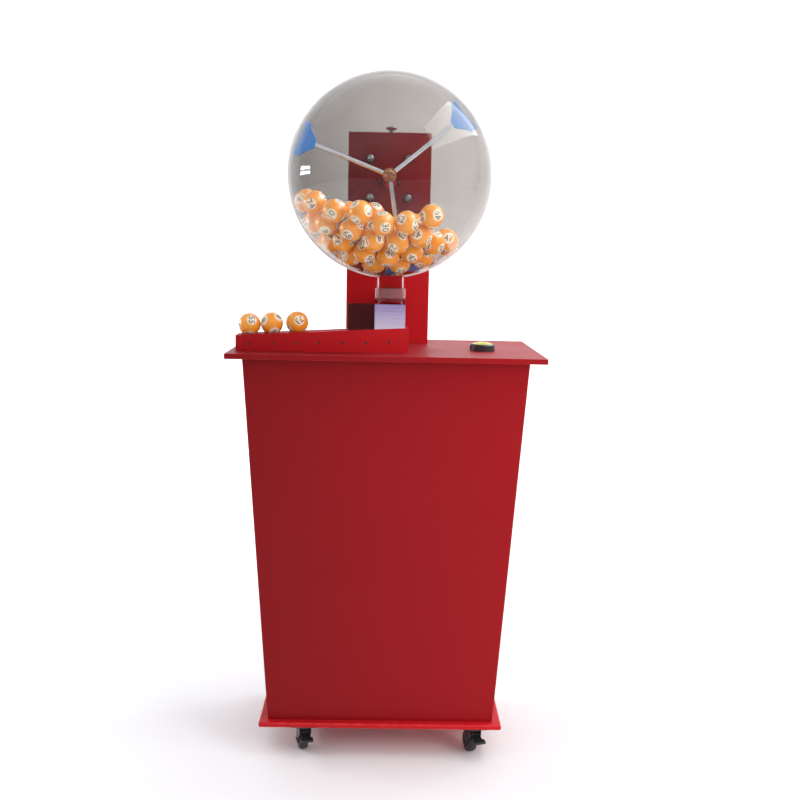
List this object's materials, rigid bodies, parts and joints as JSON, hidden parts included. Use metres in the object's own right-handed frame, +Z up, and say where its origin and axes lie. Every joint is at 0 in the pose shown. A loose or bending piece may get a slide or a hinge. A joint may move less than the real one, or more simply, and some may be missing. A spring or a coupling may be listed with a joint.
{
  "type": "bingo ball draw machine",
  "caption": "Motorised clear globe with a three-armed mixer on a tapered red cabinet with casters, an outlet gate and a sloping ball ramp.",
  "frame": {"origin": "on the floor, at the middle of the whole machine's footprint box", "axes": "+Z up, -Y towards the player in front of the globe, +X to the right seen from the front"},
  "size_m": [0.7, 0.564, 1.572],
  "materials": {
    "red_paint": "gloss painted board",
    "clear_acrylic": "polished clear acrylic",
    "frosted_acrylic": "frosted acrylic, polished outside",
    "smoked_acrylic": "smoked acrylic",
    "ball_plastic": "gloss moulded plastic with printed numbers",
    "blue_plastic": "gloss moulded plastic",
    "bronze": "turned, lightly tarnished",
    "chrome": "polished",
    "steel": "zinc plated",
    "cast_aluminium": "cast and painted",
    "yellow_plastic": "gloss moulded plastic",
    "wheel_rubber": "satin",
    "black_plastic": "satin moulded"
  },
  "bodies": {
    "cabinet": {"base_board": "red_paint", "front_panel": "red_paint", "left_panel": "red_paint", "right_panel": "red_paint", "rear_panel": "red_paint", "table_top": "red_paint", "door_hinge_frame": "steel", "column_front": "red_paint", "column_sides": "red_paint", "column_top": "red_paint", "column_cover": "red_paint", "column_screws": "steel", "top_knob": "chrome", "motor_plate": "steel", "gear_motor": "cast_aluminium", "shaft_bearing": "red_paint", "globe_front": "clear_acrylic", "globe_rear": "clear_acrylic", "globe_spacers": "black_plastic", "globe_bolts": "steel", "neck_tube": "clear_acrylic", "neck_collar": "clear_acrylic", "gate_housing": "clear_acrylic", "gate_actuator": "red_paint", "exit_top": "clear_acrylic", "exit_window": "frosted_acrylic", "exit_guard": "smoked_acrylic", "exit_back": "red_paint", "exit_end": "clear_acrylic", "ramp_front_board": "red_paint", "ramp_back_board": "red_paint", "ramp_bed": "red_paint", "ramp_end_stop": "red_paint", "ramp_studs": "black_plastic", "globe_balls": "ball_plastic", "drawn_balls": "ball_plastic", "button_base": "black_plastic", "button_switch": "black_plastic", "power_unit": "cast_aluminium", "cable_gland": "black_plastic", "caster_plates": "black_plastic"},
    "mixer": {"mixer_shaft": "chrome", "mixer_hub": "bronze", "mixer_arms": "chrome", "mixer_paddles": "blue_plastic"},
    "gate": {"gate_blade": "chrome"},
    "door": {"rear_door": "red_paint", "door_hinge_leaf": "steel", "door_knob": "black_plastic"},
    "button": {"button_cap": "yellow_plastic"},
    "swivel_fl": {"caster_fork_fl": "black_plastic"},
    "wheel_fl": {"caster_wheel_fl": "wheel_rubber"},
    "brake_fl": {"caster_brake_fl": "black_plastic"},
    "swivel_fr": {"caster_fork_fr": "black_plastic"},
    "wheel_fr": {"caster_wheel_fr": "wheel_rubber"},
    "brake_fr": {"caster_brake_fr": "black_plastic"},
    "swivel_rl": {"caster_fork_rl": "black_plastic"},
    "wheel_rl": {"caster_wheel_rl": "wheel_rubber"},
    "swivel_rr": {"caster_fork_rr": "black_plastic"},
    "wheel_rr": {"caster_wheel_rr": "wheel_rubber"}
  },
  "joints": [
    {"name": "mixer_spin", "type": "hinge", "parent": "cabinet", "child": "mixer", "pos_m": [0, -0.06, 1.347], "axis": [0, 1, 0], "continuous": true},
    {"name": "gate_slide", "type": "slide", "parent": "cabinet", "child": "gate", "axis": [0, 1, 0], "range_m": [0, 0.056]},
    {"name": "door_hinge", "type": "hinge", "parent": "cabinet", "child": "door", "pos_m": [-0.19, 0.253, 0.787], "axis": [0, 0, 1], "range_deg": [0, 110]},
    {"name": "button_press", "type": "slide", "parent": "cabinet", "child": "button", "axis": [0, 0, -1], "range_m": [0, 0.004], "stiffness_N_per_m": 400},
    {"name": "swivel_fl", "type": "hinge", "parent": "cabinet", "child": "swivel_fl", "pos_m": [-0.179, -0.07, 0.066], "axis": [0, 0, 1], "continuous": true},
    {"name": "wheel_fl_spin", "type": "hinge", "parent": "swivel_fl", "child": "wheel_fl", "pos_m": [-0.18469, -0.04875, 0.025], "axis": [0.9659, 0.2588, 0], "continuous": true},
    {"name": "brake_fl_pedal", "type": "hinge", "parent": "swivel_fl", "child": "brake_fl", "pos_m": [-0.17667, -0.07869, 0.054], "axis": [0.9659, 0.2588, 0], "range_deg": [0, 12]},
    {"name": "swivel_fr", "type": "hinge", "parent": "cabinet", "child": "swivel_fr", "pos_m": [0.222, -0.07, 0.066], "axis": [0, 0, 1], "continuous": true},
    {"name": "wheel_fr_spin", "type": "hinge", "parent": "swivel_fr", "child": "wheel_fr", "pos_m": [0.2152, -0.04908, 0.025], "axis": [0.9511, 0.309, 0], "continuous": true},
    {"name": "brake_fr_pedal", "type": "hinge", "parent": "swivel_fr", "child": "brake_fr", "pos_m": [0.22478, -0.07856, 0.054], "axis": [0.9511, 0.309, 0], "range_deg": [0, 12]},
    {"name": "swivel_rl", "type": "hinge", "parent": "cabinet", "child": "swivel_rl", "pos_m": [-0.179, 0.236, 0.066], "axis": [0, 0, 1], "continuous": true},
    {"name": "wheel_rl_spin", "type": "hinge", "parent": "swivel_rl", "child": "wheel_rl", "pos_m": [-0.1697, 0.25594, 0.025], "axis": [0.9063, -0.4226, 0], "continuous": true},
    {"name": "swivel_rr", "type": "hinge", "parent": "cabinet", "child": "swivel_rr", "pos_m": [0.222, 0.236, 0.066], "axis": [0, 0, 1], "continuous": true},
    {"name": "wheel_rr_spin", "type": "hinge", "parent": "swivel_rr", "child": "wheel_rr", "pos_m": [0.20786, 0.25285, 0.025], "axis": [0.766, 0.6428, 0], "continuous": true}
  ]
}
